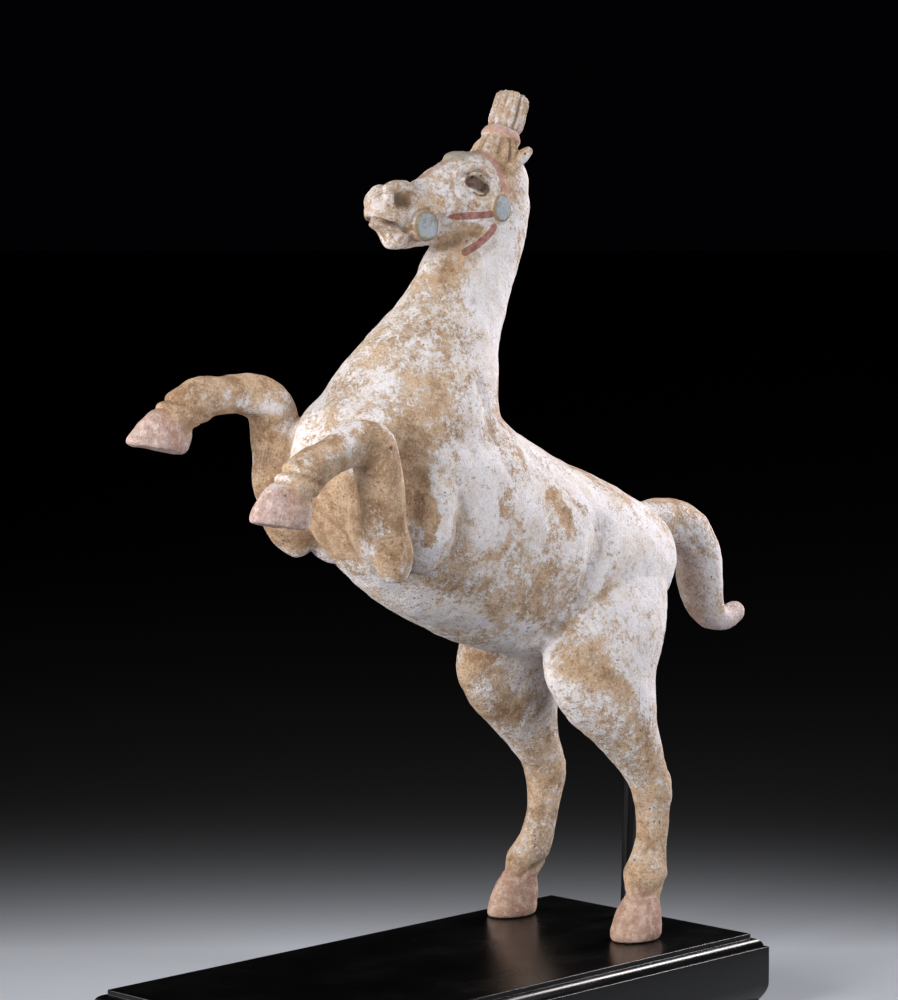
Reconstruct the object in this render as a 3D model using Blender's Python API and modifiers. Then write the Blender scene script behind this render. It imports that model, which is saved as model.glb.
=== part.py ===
"""Rearing terracotta horse with a bound forelock plume, held over a moulded black plinth by a steel rod.

Metres, +Z up. The origin is the middle of the plinth's underside. The horse faces -X, and its left
side faces -Y. Run it with blender --background --python part.py, or from Blender's text editor.
"""

import math

import bmesh
import bpy
from mathutils import Matrix, Vector

# Driving sizes of the horse. Its pose and carving are shares of its height: one share is 1/600 of it.
HORSE_HEIGHT = 0.600
SHARE = HORSE_HEIGHT / 600
HORSE_X = 0.145
HORSE_Y = 0.010
CLAY_VOXEL = 2.4 * SHARE
BLEND_PASSES = 7
BODY_TRIANGLES = 6200

# Driving sizes of the plinth: a flat top, then a fascia, a quarter round and a ledge down to its sides.
PLINTH_TOP_LENGTH = 0.4365
PLINTH_TOP_WIDTH = 0.1935
PLINTH_HEIGHT = 0.058
TOP_EASE = 0.0010
FASCIA_DROP = 0.0036
FASCIA_LEDGE = 0.0010
OVOLO_RADIUS = 0.0058
OVOLO_STEPS = 6
PLINTH_LEDGE = 0.0028
SIDE_STRAIGHT = 0.026
SIDE_TUCK = 0.005
FOOT_HEIGHT = 0.010
FOOT_STEPS = 5

# Driving sizes of the rod and of the two blind holes that it stands in and reaches into.
ROD_DIAMETER = 0.008
ROD_FOOT_X = 0.2052
ROD_FOOT_Y = 0.010
ROD_LEAN_DEG = 1.6
ROD_SINK = 0.020
ROD_REACH = 0.247
ROD_ENTRY = 0.018
HOLE_CLEARANCE = 0.0005
REST_GAP = 0.0003
ROUND_SIDES = 24

TERRACOTTA = (0.62, 0.50, 0.38)
LACQUER = (0.012, 0.012, 0.013)
STEEL = (0.02, 0.02, 0.022)


def clear_scene():
    for obj in list(bpy.data.objects):
        bpy.data.objects.remove(obj, do_unlink=True)


def new_collection(name, hidden=False):
    collection = bpy.data.collections.new(name)
    bpy.context.scene.collection.children.link(collection)
    collection.hide_render = hidden
    return collection


def material(name, colour, roughness, metallic=0.0):
    made = bpy.data.materials.new(name)
    made.use_nodes = True
    shader = made.node_tree.nodes["Principled BSDF"]
    shader.inputs["Base Color"].default_value = (*colour, 1.0)
    shader.inputs["Roughness"].default_value = roughness
    shader.inputs["Metallic"].default_value = metallic
    return made


def evaluated_mesh(obj):
    graph = bpy.context.evaluated_depsgraph_get()
    return bpy.data.meshes.new_from_object(obj.evaluated_get(graph))


# Lofts


def catmull_rom(rows, steps):
    """Rows of numbers, each step between two of them filled in along a smooth curve."""
    padded = [rows[0], *rows, rows[-1]]
    filled = []
    for i in range(len(rows) - 1):
        a, b, c, d = padded[i : i + 4]
        for k in range(steps):
            t = k / steps
            filled.append(
                [
                    0.5 * (2 * q + (r - p) * t + (2 * p - 5 * q + 4 * r - s) * t**2 + (3 * q - p - 3 * r + s) * t**3)
                    for p, q, r, s in zip(a, b, c, d)
                ]
            )
    filled.append(list(rows[-1]))
    return filled


def ring_points(centre, across, deep, half_across, half_deep, taper, sides):
    """An oval ring. A positive taper makes it wider on the side that deep points to."""
    points = []
    for k in range(sides):
        angle = 2 * math.pi * k / sides
        wide = half_across * math.cos(angle) * (1 + taper * math.sin(angle))
        points.append(centre + across * wide + deep * half_deep * math.sin(angle))
    return points


def skin_rings(bm, rings):
    """Joins rings of points into one closed skin."""
    verts = [[bm.verts.new(p) for p in ring] for ring in rings]
    sides = len(verts[0])
    for low, high in zip(verts, verts[1:]):
        for k in range(sides):
            bm.faces.new((low[k], low[(k + 1) % sides], high[(k + 1) % sides], high[k]))
    bm.faces.new(list(reversed(verts[0])))
    bm.faces.new(verts[-1])


def loft(bm, stations, steps=5, sides=20, mirror=False, side=Vector((0, 1, 0))):
    """A limb or trunk along stations of (x, y, z, half across, half deep, taper), all in shares."""
    for flip in (1, -1) if mirror else (1,):
        rows = catmull_rom([(s[0], flip * s[1], *s[2:]) for s in stations], steps)
        centres = [Vector(row[:3]) * SHARE for row in rows]
        rings = []
        for i, row in enumerate(rows):
            along = (centres[min(i + 1, len(rows) - 1)] - centres[max(i - 1, 0)]).normalized()
            across = (side - along * side.dot(along)).normalized()
            deep = along.cross(across)
            rings.append(
                ring_points(centres[i], across, deep, row[3] * SHARE, row[4] * SHARE, row[5], sides)
            )
        skin_rings(bm, rings)


def outline_loft(bm, stations, steps=5, sides=24, mirror=False):
    """A trunk drawn by the two edges of its side view, oval across."""
    for flip in (1, -1) if mirror else (1,):
        rings = []
        for ax, az, bx, bz, y, half in catmull_rom(stations, steps):
            a = Vector((ax, flip * y, az)) * SHARE
            b = Vector((bx, flip * y, bz)) * SHARE
            across = Vector((0, half * SHARE, 0))
            rings.append([
                (a + b) / 2 + (a - b) / 2 * math.cos(turn) + across * math.sin(turn)
                for turn in (2 * math.pi * k / sides for k in range(sides))
            ])
        skin_rings(bm, rings)


def lump(bm, centre, radii, turn=(0, 0, 0), mirror=False, detail=16):
    """A rounded mass of clay: a sphere stretched to radii and turned by degrees about X, Y and Z."""
    for flip in (1, -1) if mirror else (1,):
        turned = Matrix.Identity(4)
        for degrees, axis in zip(turn, "XYZ"):
            turned = Matrix.Rotation(math.radians(degrees), 4, axis) @ turned
        if flip < 0:
            turned = Matrix.Scale(-1, 4, (0, 1, 0)) @ turned @ Matrix.Scale(-1, 4, (0, 1, 0))
        place = Matrix.Translation(Vector((centre[0], flip * centre[1], centre[2])) * SHARE)
        sized = Matrix.Diagonal((*[r * SHARE for r in radii], 1))
        bmesh.ops.create_uvsphere(
            bm, u_segments=detail, v_segments=detail // 2 + 2, radius=1, matrix=place @ turned @ sized
        )


# The horse's own frame: x is 0 over the hind hooves and negative towards its nose, y is 0 on its
# middle plane and z is 0 under its hooves. Every number in the stations is a share.

# Trunks are drawn by their outline: (x, z) on one edge, (x, z) on the other, y and half across.
TORSO = [
    (84, 272, 84, 256, 0, 8),
    (80, 289, 78, 241, 0, 26),
    (66, 303, 64, 226, 0, 43),
    (38, 317, 36, 214, 0, 55),
    (4, 332, 0, 203, 0, 60),
    (-36, 348, -46, 202, 0, 60),
    (-76, 368, -98, 213, 0, 62),
    (-108, 389, -165, 240, 0, 63),
    (-146, 405, -208, 268, 0, 58),
    (-185, 411, -237, 297, 0, 51),
    (-216, 406, -254, 330, 0, 40),
    (-242, 390, -258, 362, 0, 18),
]
NECK = [
    (-88, 345, -246, 345, 0, 57),
    (-94, 385, -240, 385, 0, 52),
    (-91, 410, -224, 408, 0, 45),
    (-86, 432, -201, 430, 0, 36),
    (-75, 456, -176, 451, 0, 28.5),
    (-63, 480, -157, 470, 0, 24),
    (-55, 503, -144, 488, 0, 22),
    (-51, 525, -128, 508, 0, 21),
    (-59, 543, -112, 528, 0, 17),
]
HEAD = [
    (-57, 544, -57, 530, 0, 8),
    (-62, 555, -64, 516, 0, 15),
    (-80, 560, -84, 505, 0, 19.5),
    (-100, 561, -100, 497, 0, 21.5),
    (-118, 558, -116, 493, 0, 20.5),
    (-138, 551, -134, 494, 0, 17.5),
    (-156, 541, -152, 495, 0, 15),
    (-172, 537, -170, 493, 0, 14),
    (-187, 536, -184, 497, 0, 14),
    (-197, 532, -195, 505, 0, 11),
    (-202, 525, -201, 515, 0, 5),
]
HIND_LEG = [
    (-48, 285, 60, 285, 24, 28),
    (-52, 256, 59, 256, 30, 31),
    (-60, 226, 50, 224, 38, 31),
    (-67, 192, 35, 190, 43, 28),
    (-50, 163, 32, 160, 48, 23),
    (-21, 139, 35, 136, 50, 18),
    (2, 118, 43, 114, 51, 15),
    (13, 102, 46, 100, 52, 14),
    (15.5, 86, 42, 85, 53, 11.5),
    (14.5, 72, 40, 71, 54, 11),
    (9, 58, 37, 56, 55, 12),
    (-1, 46, 34, 43, 57, 14.5),
    (-3, 35, 29, 33, 59, 12),
    (-6, 26, 22, 26, 60, 12),
]
# Limbs are drawn by their centre line: x, y, z, half across, half deep and taper.
TAIL = [
    (52, 0, 284, 13, 13, 0),
    (76, 0, 290, 15, 14, 0),
    (100, 0, 290, 17, 16, 0),
    (122, 0, 282, 18, 17, 0),
    (137, 0, 265, 18, 17, 0),
    (141, 0, 245, 18, 17, 0),
    (145, 0, 228, 16, 15, 0),
    (154, 0, 215, 13, 12, 0),
    (168, 0, 210, 10, 9.5, 0),
    (180, 0, 214, 8.5, 8.5, 0),
    (187, 0, 219, 6, 6, 0),
]
NEAR_FORELEG = [
    (-229, -50, 277, 8, 8, 0),
    (-232, -52, 289, 14, 13, 0),
    (-239, -51, 314, 15.5, 15, 0),
    (-243, -50, 344, 16, 16, 0),
    (-248, -50, 366, 15.5, 16, 0),
    (-266, -50, 369, 14, 15, 0),
    (-288, -50, 362, 12, 13, 0),
    (-307, -50, 354, 14, 14.5, 0),
    (-319, -50, 345, 13.5, 14, 0),
    (-328, -50, 334, 12, 12.5, 0),
]
FAR_FORELEG = [
    (-213, 50, 291, 12, 12, 0),
    (-224, 53, 303, 18, 17, 0),
    (-237, 52, 328, 17, 17, 0),
    (-242, 51, 360, 16, 17, 0),
    (-248, 50, 387, 16.5, 17, 0),
    (-266, 50, 397, 14.5, 15, 0),
    (-290, 50, 398, 12.5, 13, 0),
    (-313, 50, 396, 14.5, 15, 0),
    (-328, 50, 389, 13.5, 14, 0),
    (-340, 50, 380, 12, 12.5, 0),
]


def clay_body(bm):
    """The trunk, neck, limbs and tail, before they are worked together."""
    outline_loft(bm, TORSO, sides=32)
    outline_loft(bm, NECK, sides=28)
    outline_loft(bm, HEAD)
    outline_loft(bm, HIND_LEG, mirror=True)
    loft(bm, TAIL)
    loft(bm, NEAR_FORELEG, steps=6)
    loft(bm, FAR_FORELEG, steps=6)
    lump(bm, (-210, 0, 325), (31, 49, 42))
    lump(bm, (-192, 43, 316), (26, 20, 40), turn=(0, 12, 0), mirror=True)


def hoof(bm, top, sole, toe, half_across, half_deep, ease=0.8):
    """A hoof from its coronet at top to its flat sole. toe is the way it points, along the sole."""
    toe = Vector(toe).normalized()
    side = Vector((0, 1, 0))
    down = side.cross(toe).normalized()
    if down.dot(Vector(sole) - Vector(top)) < 0:
        down = -down
    rings = []
    for t, swell in ((0, ease), (0.15, ease + 0.04), (0.6, 0.95), (0.9, 1.0), (1, 0.97)):
        centre = Vector(top).lerp(Vector(sole), t) * SHARE
        rings.append(
            ring_points(centre, side, toe, half_across * swell * SHARE, half_deep * swell * SHARE, -0.1, 20)
        )
    if down.cross(side).dot(toe) > 0:
        rings = [list(reversed(r)) for r in rings]
    skin_rings(bm, rings)


PLUME_AXIS = ((-83, 0, 550), (-61.5, 0, 600))
PLUME = [
    (0.00, 18.0, 0.08),
    (0.20, 15.2, 0.09),
    (0.33, 12.8, 0.08),
    (0.37, 13.8, 0.0),
    (0.41, 14.4, 0.0),
    (0.46, 13.4, 0.0),
    (0.49, 10.8, 0.06),
    (0.53, 11.6, 0.09),
    (0.67, 12.2, 0.10),
    (0.945, 12.0, 0.10),
    (0.985, 11.6, 0.10),
    (1.00, 10.2, 0.06),
]
EAR = [
    (-84, 10, 544, 6, 5, 0),
    (-77, 12.5, 549.5, 7, 5, 0),
    (-70.5, 15, 555, 5.5, 4.2, 0),
    (-66, 16.8, 558.5, 4.4, 3.4, 0),
    (-64, 17.4, 560, 3, 2.4, 0),
]


# Carving: (path, reach to either side, depth), the paths on the side that is y below 0.
MOUTH = [(-206, -2, 512), (-198, -8, 511), (-188, -13, 508), (-180, -14, 505)]
NOSTRIL = [(-187, -13, 526.5), (-183.5, -14, 526)]
EYE_HOLLOW = [(-124, -19, 538), (-112, -20, 537)]
FLANK_FOLD = [(-30, -61, 296), (-42, -62, 268), (-58, -56, 238), (-80, -40, 214)]
FOREARM_HOLLOW = [(-210, -62, 368), (-214, -62, 335), (-219, -64, 300)]
SHOULDER_CREASE = [(-200, -52, 280), (-182, -60, 292), (-172, -64, 320)]
TAIL_FOLD = [(86, -14, 273), (98, -16, 277), (112, -17, 272), (124, -16, 264)]
RUMP_SPLIT = [(88, 0, 266), (76, 0, 234), (58, 0, 208)]
PAIRED_CUTS = (
    (NOSTRIL, 8.5, 4.5),
    (EYE_HOLLOW, 11, 2.6),
    (FLANK_FOLD, 18, 5),
    (FOREARM_HOLLOW, 15, 5),
    (SHOULDER_CREASE, 17, 3.5),
    (TAIL_FOLD, 7, 2.5),
)
MOUTH_CUT = (MOUTH, 5.5, 4.5)
RUMP_CUT = (RUMP_SPLIT, 17, 4)

ROUNDELS = (((-165, 11, 510), 10.8, 9.5, 8), ((-94, 16, 521), 10.0, 9.0, -8))


def roundel(bm, centre, radius, proud, yaw):
    """A round bridle boss on each cheek, its face turned by yaw degrees towards the nose."""
    for flip in (1, -1):
        out = Vector((-math.sin(math.radians(yaw)), flip * math.cos(math.radians(yaw)), 0))
        across = Vector((0, 0, 1))
        deep = out.cross(across)
        base = Vector((centre[0], flip * centre[1], centre[2]))
        rings = []
        for rise, share in ((0, 0.95), (0.75, 1.0), (0.9, 0.93), (0.97, 0.7), (1.0, 0.35)):
            ring = radius * share * SHARE
            rings.append(ring_points((base + out * proud * rise) * SHARE, across, deep, ring, ring, 0, 20))
        skin_rings(bm, rings)


def plume(bm):
    """The forelock bound upright: a flared foot, a ring of cord and a tuft cut off square."""
    low, high = (Vector(p) for p in PLUME_AXIS)
    along = (high - low).normalized()
    across = Vector((0, 1, 0))
    deep = along.cross(across)
    rings = []
    for t, radius, flute in PLUME:
        ring = ring_points(low.lerp(high, t) * SHARE, across, deep, radius * SHARE, radius * SHARE, 0, 24)
        middle = low.lerp(high, t) * SHARE
        rings.append([middle.lerp(p, 1 - flute * (k % 2)) for k, p in enumerate(ring)])
    skin_rings(bm, rings)


def hooves_and_harness(bm):
    """What stands crisply out of the worked clay and touches nothing else here."""
    hoof(bm, (8, 60, 34), (1, 61, 0), (-1, 0, 0), 16, 21)
    hoof(bm, (8, -60, 34), (1, -61, 0), (-1, 0, 0), 16, 21)
    hoof(bm, (-324, -50, 346), (-334, -50, 319), (-50, 0, 9), 14, 24)
    hoof(bm, (-336, 50, 388), (-352, 50, 365), (-50, 0, 11), 14, 24)
    plume(bm)
    for centre, radius, proud, yaw in ROUNDELS:
        roundel(bm, centre, radius, proud, yaw)


def ears_and_locks(bm):
    """Ears, eyeballs, the lock on the brow and the swelling over the nostrils."""
    loft(bm, EAR, steps=2, sides=10, mirror=True)
    lump(bm, (-112, 0, 553), (18, 9, 7), turn=(0, 8, 0), detail=12)
    lump(bm, (-178, 0, 534), (13, 9, 8), detail=12)
    lump(bm, (-119, 14.5, 536), (7, 5.5, 6), mirror=True, detail=10)


def nearest_on_path(point, path):
    """How far the point is from a path of straight runs."""
    best = 1e9
    for start, end in zip(path, path[1:]):
        run = end - start
        t = max(0.0, min(1.0, (point - start).dot(run) / max(run.length_squared, 1e-12)))
        best = min(best, (point - start - run * t).length)
    return best


def mirrored(path):
    return [(x, -y, z) for x, y, z in path]


def carve(mesh, cuts):
    """Presses grooves in, or raises ridges where the depth is negative, along paths in shares."""
    verts = [v.co.copy() for v in mesh.vertices]
    normals = [v.normal.copy() for v in mesh.vertices]
    for path, width, depth in cuts:
        points = [Vector(p) * SHARE for p in path]
        reach = width * SHARE
        low = [min(p[i] for p in points) - reach for i in range(3)]
        high = [max(p[i] for p in points) + reach for i in range(3)]
        for i, place in enumerate(verts):
            if any(place[k] < low[k] or place[k] > high[k] for k in range(3)):
                continue
            away = nearest_on_path(place, points) / reach
            if away < 1:
                share = (1 - away * away) ** 2
                mesh.vertices[i].co -= normals[i] * depth * SHARE * share
    mesh.update()


def mesh_object(name, mesh, collection):
    obj = bpy.data.objects.new(name, mesh)
    collection.objects.link(obj)
    return obj


def bm_object(name, bm, collection):
    bmesh.ops.recalc_face_normals(bm, faces=bm.faces)
    mesh = bpy.data.meshes.new(name)
    bm.to_mesh(mesh)
    bm.free()
    return mesh_object(name, mesh, collection)


def worked(obj, voxel, passes):
    """The object's clay joined into one skin and smoothed by hand, as a plain mesh."""
    joined = obj.modifiers.new("join", "REMESH")
    joined.mode = "VOXEL"
    joined.voxel_size = voxel
    joined.adaptivity = 0
    eased = obj.modifiers.new("ease", "SMOOTH")
    eased.factor = 0.5
    eased.iterations = passes
    return evaluated_mesh(obj)


def horse(collection, helpers):
    bm = bmesh.new()
    clay_body(bm)
    rough = bm_object("rough_clay", bm, helpers)
    bpy.context.view_layer.update()
    body = worked(rough, CLAY_VOXEL, BLEND_PASSES)
    cuts = [RUMP_CUT, MOUTH_CUT, (mirrored(MOUTH), *MOUTH_CUT[1:])]
    for path, width, depth in PAIRED_CUTS:
        cuts += [(path, width, depth), (mirrored(path), width, depth)]
    carve(body, cuts)
    bpy.data.objects.remove(rough, do_unlink=True)

    place = (HORSE_X, HORSE_Y, PLINTH_HEIGHT + REST_GAP)
    figure = mesh_object("horse", body, collection)
    figure.location = place
    thin = figure.modifiers.new("thin_out", "DECIMATE")
    thin.ratio = min(1.0, BODY_TRIANGLES / (2 * len(body.polygons)))
    for name, shapes in (("harness", hooves_and_harness), ("locks", ears_and_locks)):
        bm = bmesh.new()
        shapes(bm)
        added = bm_object(name, bm, helpers)
        added.location = place
        added.hide_render = True
        added.display_type = "WIRE"
        joined = figure.modifiers.new(name, "BOOLEAN")
        joined.operation = "UNION"
        joined.object = added
    return figure


def plinth_profile():
    """(how far out from the top's edge, height) from the top down to the underside."""
    rows = [(0.0, PLINTH_HEIGHT), (TOP_EASE, PLINTH_HEIGHT - TOP_EASE), (TOP_EASE, PLINTH_HEIGHT - FASCIA_DROP)]
    ovolo_out = TOP_EASE + FASCIA_LEDGE
    ovolo_low = PLINTH_HEIGHT - FASCIA_DROP - OVOLO_RADIUS
    for k in range(OVOLO_STEPS + 1):
        angle = math.pi / 2 * (1 - k / OVOLO_STEPS)
        rows.append((ovolo_out + OVOLO_RADIUS * math.cos(angle), ovolo_low + OVOLO_RADIUS * math.sin(angle)))
    side_out = ovolo_out + OVOLO_RADIUS + PLINTH_LEDGE
    rows.append((side_out, ovolo_low))
    bend = ovolo_low - SIDE_STRAIGHT
    for k in range(FOOT_STEPS + 1):
        t = k / FOOT_STEPS
        rows.append((side_out - SIDE_TUCK * t * t, bend + (FOOT_HEIGHT - bend) * t))
    rows.append((side_out - SIDE_TUCK, 0.0))
    return rows


def plinth(collection):
    bm = bmesh.new()
    rings = []
    for out, height in plinth_profile():
        x, y = PLINTH_TOP_LENGTH / 2 + out, PLINTH_TOP_WIDTH / 2 + out
        rings.append([Vector((sx * x, sy * y, height)) for sx, sy in ((1, 1), (-1, 1), (-1, -1), (1, -1))])
    skin_rings(bm, rings)
    return bm_object("plinth", bm, collection)


def rod_shape(name, radius, start, end, collection):
    """A round bar from start to end, measured along the leaning rod from the plinth's top."""
    bm = bmesh.new()
    bmesh.ops.create_cone(
        bm, cap_ends=True, segments=ROUND_SIDES, radius1=radius, radius2=radius, depth=end - start
    )
    bmesh.ops.translate(bm, verts=bm.verts, vec=(0, 0, (start + end) / 2))
    obj = bm_object(name, bm, collection)
    obj.location = (ROD_FOOT_X, ROD_FOOT_Y, PLINTH_HEIGHT)
    obj.rotation_euler = (0, math.radians(ROD_LEAN_DEG), 0)
    return obj


def cut(obj, cutter):
    cutter.hide_render = True
    cutter.display_type = "WIRE"
    hole = obj.modifiers.new(cutter.name, "BOOLEAN")
    hole.object = cutter
    hole.operation = "DIFFERENCE"


def main():
    clear_scene()
    parts = new_collection("terracotta_horse")
    cutters = new_collection("cutters", hidden=True)
    clay = material("terracotta", TERRACOTTA, 0.85)
    lacquer = material("black_lacquer", LACQUER, 0.25)
    steel = material("black_steel", STEEL, 0.35, 0.6)

    figure = horse(parts, cutters)
    base = plinth(parts)
    rod = rod_shape("support_rod", ROD_DIAMETER / 2, -ROD_SINK + REST_GAP, ROD_REACH, parts)
    hole_radius = ROD_DIAMETER / 2 + HOLE_CLEARANCE
    cut(base, rod_shape("plinth_hole", hole_radius, -ROD_SINK, ROD_DIAMETER, cutters))
    cut(figure, rod_shape("rod_socket", hole_radius, ROD_REACH - ROD_ENTRY - 0.03, ROD_REACH + REST_GAP, cutters))
    for obj, finish in ((figure, clay), (base, lacquer), (rod, steel)):
        obj.data.materials.clear()
        obj.data.materials.append(finish)


main()
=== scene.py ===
# %% [markdown]
# # A rearing terracotta horse on its plinth
# The real object is a hollow fired-clay horse, coated with white slip that has flaked and stained in
# the ground. It rears on a black plinth, steadied by a steel rod. This notebook dresses the plain model.
# First the fixed frame is loaded. Everything below is placed in that frame, in metres.

# %% Load the fixed frame
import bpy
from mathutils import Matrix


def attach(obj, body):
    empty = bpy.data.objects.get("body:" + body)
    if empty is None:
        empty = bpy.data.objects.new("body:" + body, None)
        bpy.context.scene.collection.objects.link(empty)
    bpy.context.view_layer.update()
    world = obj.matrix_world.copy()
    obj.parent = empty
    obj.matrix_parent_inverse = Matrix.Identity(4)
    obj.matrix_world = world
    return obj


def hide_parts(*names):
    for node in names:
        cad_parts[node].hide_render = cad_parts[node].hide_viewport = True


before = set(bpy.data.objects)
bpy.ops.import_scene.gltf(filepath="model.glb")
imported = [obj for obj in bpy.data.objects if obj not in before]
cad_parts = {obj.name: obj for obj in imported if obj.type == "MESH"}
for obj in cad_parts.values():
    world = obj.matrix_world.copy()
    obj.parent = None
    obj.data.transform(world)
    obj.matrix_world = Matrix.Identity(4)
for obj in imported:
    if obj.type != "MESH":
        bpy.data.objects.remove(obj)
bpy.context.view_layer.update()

# %% [markdown]
# ## Tools and measures
# Blender works in metres and the figure is drawn in millimetres, so one factor turns the one into the
# other. The hind hooves stand towards one end of the plinth, a hair's breadth above its top.

# %% Tools of the bench
from math import cos, pi, radians, sin

import bmesh
import bpy
import numpy as np
from mathutils import Matrix, Vector

MM = 0.001
PLINTH_HEIGHT = 0.058
REST_GAP = 0.0003
HORSE_PLACE = Vector((0.145, 0.01, PLINTH_HEIGHT + REST_GAP))

# %% [markdown]
# ## Clay in rolls and slabs
# A potter builds a horse from rolls, slabs and pinches of clay, joins them and works the joins smooth.
# The same can be done here with closed skins: a roll drawn along its centre line, a trunk drawn by the
# two edges of its side view, and a pinch of clay as a stretched ball. Smooth curves through a few
# stations keep the numbers few. All of it is in millimetres in the horse's own frame: x is 0 over the
# hind hooves and negative towards the nose, y is 0 on its middle plane, z is 0 under its hooves.

# %% Smooth rows through a few stations
def smooth_rows(rows, steps):
    """Rows of numbers, filled in between along a smooth curve."""
    padded = [rows[0], *rows, rows[-1]]
    filled = []
    for i in range(len(rows) - 1):
        a, b, c, d = (np.array(r, float) for r in padded[i : i + 4])
        square, cube = 2 * a - 5 * b + 4 * c - d, 3 * b - a - 3 * c + d
        for k in range(steps):
            t = k / steps
            filled.append(0.5 * (2 * b + (c - a) * t + square * t**2 + cube * t**3))
    filled.append(np.array(rows[-1], float))
    return filled


def skin(bm, rings):
    """Joins rings of points into one closed skin."""
    verts = [[bm.verts.new(p) for p in ring] for ring in rings]
    sides = len(verts[0])
    for low, high in zip(verts, verts[1:]):
        for k in range(sides):
            bm.faces.new((low[k], low[(k + 1) % sides], high[(k + 1) % sides], high[k]))
    bm.faces.new(list(reversed(verts[0])))
    bm.faces.new(verts[-1])


def turns(sides):
    """The angles of so many sides, all the way round."""
    return [2 * pi * k / sides for k in range(sides)]


def oval(middle, first, second, sides):
    return [middle + first * cos(a) + second * sin(a) for a in turns(sides)]


# %% Rolls, trunks and pinches
def roll(bm, stations, steps=6, sides=24, mirror=False):
    """A roll of clay along (x, y, z, half across, half deep)."""
    side = Vector((0, 1, 0))
    for flip in (1, -1) if mirror else (1,):
        rows = smooth_rows([(s[0], flip * s[1], *s[2:5]) for s in stations], steps)
        middles = [Vector(row[:3]) for row in rows]
        rings = []
        for i, row in enumerate(rows):
            along = (middles[min(i + 1, len(rows) - 1)] - middles[max(i - 1, 0)]).normalized()
            across = (side - along * side.dot(along)).normalized()
            deep = along.cross(across)
            rings.append(oval(middles[i], across * row[3], deep * row[4], sides))
        skin(bm, rings)


def trunk(bm, stations, steps=8, sides=40, mirror=False):
    """A trunk along (x, z) of one edge, (x, z) of the other, y and half across."""
    for flip in (1, -1) if mirror else (1,):
        rings = []
        for ax, az, bx, bz, y, half in smooth_rows(stations, steps):
            a, b = Vector((ax, flip * y, az)), Vector((bx, flip * y, bz))
            rings.append(oval((a + b) / 2, (a - b) / 2, Vector((0, half, 0)), sides))
        skin(bm, rings)


def pinch(bm, centre, radii, turn=(0, 0, 0), mirror=False):
    """A pinch of clay: a ball stretched to radii and turned by degrees about X, Y and Z."""
    for flip in (1, -1) if mirror else (1,):
        turned = Matrix.Identity(4)
        for degrees, axis in zip(turn, "XYZ"):
            turned = Matrix.Rotation(radians(degrees), 4, axis) @ turned
        mirror_y = Matrix.Scale(flip, 4, (0, 1, 0))
        turned = mirror_y @ turned @ mirror_y
        place = Matrix.Translation(Vector((centre[0], flip * centre[1], centre[2])))
        bmesh.ops.create_uvsphere(
            bm, u_segments=28, v_segments=14, radius=1,
            matrix=place @ turned @ Matrix.Diagonal((*radii, 1)),
        )


# %% [markdown]
# ## The horse's trunk, neck, head and limbs
# The body was pressed in a two-part mould and luted along the spine and belly. Its outline is what one
# knows it by, so the stations follow its two edges, as a mould maker would cut a template.

# %% Stations of the trunk, neck and head
TORSO = [
    (84, 272, 84, 256, 0, 8), (80, 289, 78, 241, 0, 26), (66, 303, 64, 226, 0, 43),
    (38, 317, 36, 214, 0, 55), (4, 332, 0, 203, 0, 60), (-36, 348, -46, 202, 0, 60),
    (-76, 368, -98, 213, 0, 62), (-108, 389, -165, 240, 0, 63), (-146, 405, -208, 268, 0, 58),
    (-185, 411, -237, 297, 0, 51), (-216, 406, -254, 330, 0, 40), (-242, 390, -258, 362, 0, 18),
]
NECK = [
    (-88, 345, -246, 345, 0, 57), (-94, 385, -240, 385, 0, 52), (-91, 410, -224, 408, 0, 45),
    (-86, 432, -201, 430, 0, 36), (-75, 456, -176, 451, 0, 28.5), (-63, 480, -157, 470, 0, 24),
    (-55, 503, -144, 488, 0, 22), (-51, 525, -128, 508, 0, 21), (-59, 543, -112, 528, 0, 17),
]
HEAD = [
    (-57, 544, -57, 530, 0, 8), (-62, 555, -64, 516, 0, 15), (-80, 560, -84, 505, 0, 19.5),
    (-100, 561, -100, 497, 0, 21.5), (-118, 558, -116, 493, 0, 20.5), (-138, 551, -134, 494, 0, 17.5),
    (-156, 541, -152, 495, 0, 15), (-172, 537, -170, 493, 0, 14), (-187, 536, -184, 497, 0, 14),
    (-197, 532, -195, 505, 0, 11), (-202, 525, -201, 515, 0, 5),
]

# %% Stations of the legs and tail
HIND_LEG = [
    (-48, 285, 60, 285, 24, 28), (-52, 256, 59, 256, 30, 31), (-60, 226, 50, 224, 38, 31),
    (-67, 192, 35, 190, 43, 28), (-50, 163, 32, 160, 48, 23), (-21, 139, 35, 136, 50, 18),
    (2, 118, 43, 114, 51, 15), (13, 102, 46, 100, 52, 14), (15.5, 86, 42, 85, 53, 11.5),
    (14.5, 72, 40, 71, 54, 11), (9, 58, 37, 56, 55, 12), (-1, 46, 34, 43, 57, 14.5),
    (-3, 35, 29, 33, 59, 12), (-6, 26, 22, 26, 60, 12),
]
TAIL = [
    (52, 0, 284, 13, 13), (76, 0, 290, 15, 14), (100, 0, 290, 17, 16), (122, 0, 282, 18, 17),
    (137, 0, 265, 18, 17), (141, 0, 245, 18, 17), (145, 0, 228, 16, 15), (154, 0, 215, 13, 12),
    (168, 0, 210, 10, 9.5), (180, 0, 214, 8.5, 8.5), (187, 0, 219, 6, 6),
]
NEAR_FORELEG = [
    (-229, -50, 277, 8, 8), (-232, -52, 289, 14, 13), (-239, -51, 314, 15.5, 15),
    (-243, -50, 344, 16, 16), (-248, -50, 366, 15.5, 16), (-266, -50, 369, 14, 15),
    (-288, -50, 362, 12, 13), (-307, -50, 354, 14, 14.5), (-319, -50, 345, 13.5, 14),
    (-328, -50, 334, 12, 12.5),
]
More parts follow.
